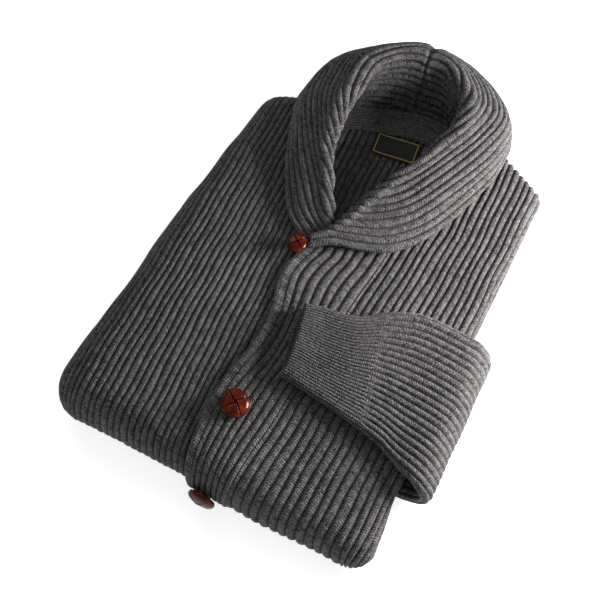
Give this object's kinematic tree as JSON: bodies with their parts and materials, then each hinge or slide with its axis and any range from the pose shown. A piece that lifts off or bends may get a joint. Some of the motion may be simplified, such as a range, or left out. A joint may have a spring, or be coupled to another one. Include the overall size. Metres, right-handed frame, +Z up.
{
  "type": "folded shawl collar cardigan",
  "caption": "Chunky ribbed shawl collar cardigan, buttoned and folded flat face up for a shelf, with one cuff laid across the front.",
  "frame": {"origin": "on the flat underside that rests on the table, below the middle of the folded body", "axes": "+Z up from the table, +Y from the bottom fold towards the collar, +X to the right of someone facing the front"},
  "size_m": [0.3616, 0.5196, 0.1054],
  "materials": {
    "charcoal_knit": "matte ribbed wool knit with light and dark flecks",
    "leather": "glossy woven leather",
    "dark_tape": "matte fine knit",
    "woven_label": "satin weave"
  },
  "bodies": {
    "root": {"back": "charcoal_knit", "button_1": "leather", "button_2": "leather", "button_3": "leather", "hidden_layers": "charcoal_knit", "label": "woven_label", "left_button_band": "charcoal_knit", "left_collar": "charcoal_knit", "left_cuff": "charcoal_knit", "left_front": "charcoal_knit", "left_sleeve": "charcoal_knit", "neck_tape": "dark_tape", "right_collar": "charcoal_knit", "right_front": "charcoal_knit"}
  },
  "joints": []
}
